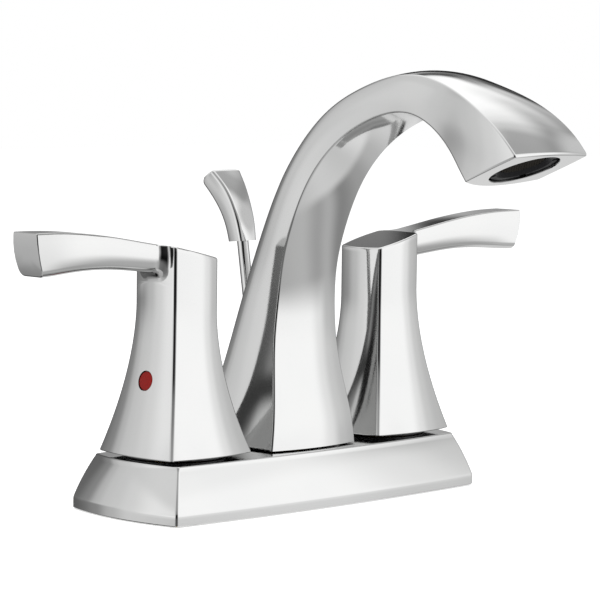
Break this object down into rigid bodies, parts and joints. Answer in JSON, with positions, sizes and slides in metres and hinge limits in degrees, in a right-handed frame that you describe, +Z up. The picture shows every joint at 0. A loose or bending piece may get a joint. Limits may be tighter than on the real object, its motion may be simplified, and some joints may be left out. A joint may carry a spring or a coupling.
{
  "type": "two-handle bathroom faucet",
  "caption": "Centerset basin faucet with arched spout, two lever handles on square flared columns, ceramic disc valves, deck plate with threaded shanks and a lift rod for the drain.",
  "frame": {"origin": "middle of the base gasket's underside, on the sink deck, halfway between the two valve axes", "axes": "+Z up from the deck, -Y forward along the spout, +X towards the cold side"},
  "size_m": [0.241, 0.1643, 0.2355],
  "materials": {
    "chrome": "polished",
    "brass": "machined",
    "copper": "drawn",
    "rubber": "matte",
    "ceramic": "lapped",
    "dark_plastic": "satin",
    "pale_plastic": "matte",
    "steel": "plain",
    "red_enamel": "gloss",
    "blue_enamel": "gloss"
  },
  "bodies": {
    "faucet_body": {"base_gasket": "rubber", "deck_plate": "chrome", "hot_valve_body": "brass", "cold_valve_body": "brass", "hot_mounting_washer": "steel", "cold_mounting_washer": "steel", "hot_mounting_nut": "pale_plastic", "cold_mounting_nut": "pale_plastic", "hot_plate_nut": "brass", "cold_plate_nut": "brass", "hot_glide_ring": "dark_plastic", "cold_glide_ring": "dark_plastic", "hot_bonnet_nut": "brass", "cold_bonnet_nut": "brass", "hot_cartridge_body": "brass", "cold_cartridge_body": "brass", "hot_seat_seal": "rubber", "cold_seat_seal": "rubber", "hot_fixed_disc": "ceramic", "cold_fixed_disc": "ceramic", "hot_stem_seal": "rubber", "cold_stem_seal": "rubber", "hot_cross_tube": "copper", "cold_cross_tube": "copper", "centre_body": "brass", "spout": "chrome", "spout_nipple": "brass", "spout_seal": "rubber", "left_spout_screw": "steel", "right_spout_screw": "steel", "aerator_housing": "dark_plastic", "aerator_washer": "rubber", "aerator_screen": "steel", "rod_bushing": "dark_plastic"},
    "hot_handle_unit": {"hot_handle": "chrome", "hot_index_button": "red_enamel", "hot_set_screw": "steel", "hot_stem": "brass", "hot_moving_disc": "ceramic"},
    "cold_handle_unit": {"cold_handle": "chrome", "cold_index_button": "blue_enamel", "cold_set_screw": "steel", "cold_stem": "brass", "cold_moving_disc": "ceramic"},
    "lift_rod_unit": {"lift_rod": "chrome", "lift_knob": "chrome"}
  },
  "joints": [
    {"name": "hot_handle_turn", "type": "hinge", "parent": "faucet_body", "child": "hot_handle_unit", "pos_m": [-0.0508, 0, 0.05], "axis": [0, 0, 1], "range_deg": [0, 90]},
    {"name": "cold_handle_turn", "type": "hinge", "parent": "faucet_body", "child": "cold_handle_unit", "pos_m": [0.0508, 0, 0.05], "axis": [0, 0, 1], "range_deg": [-90, 0]},
    {"name": "lift_rod_slide", "type": "slide", "parent": "faucet_body", "child": "lift_rod_unit", "axis": [0, 0.1633, 0.9866], "range_m": [0, 0.028]}
  ]
}
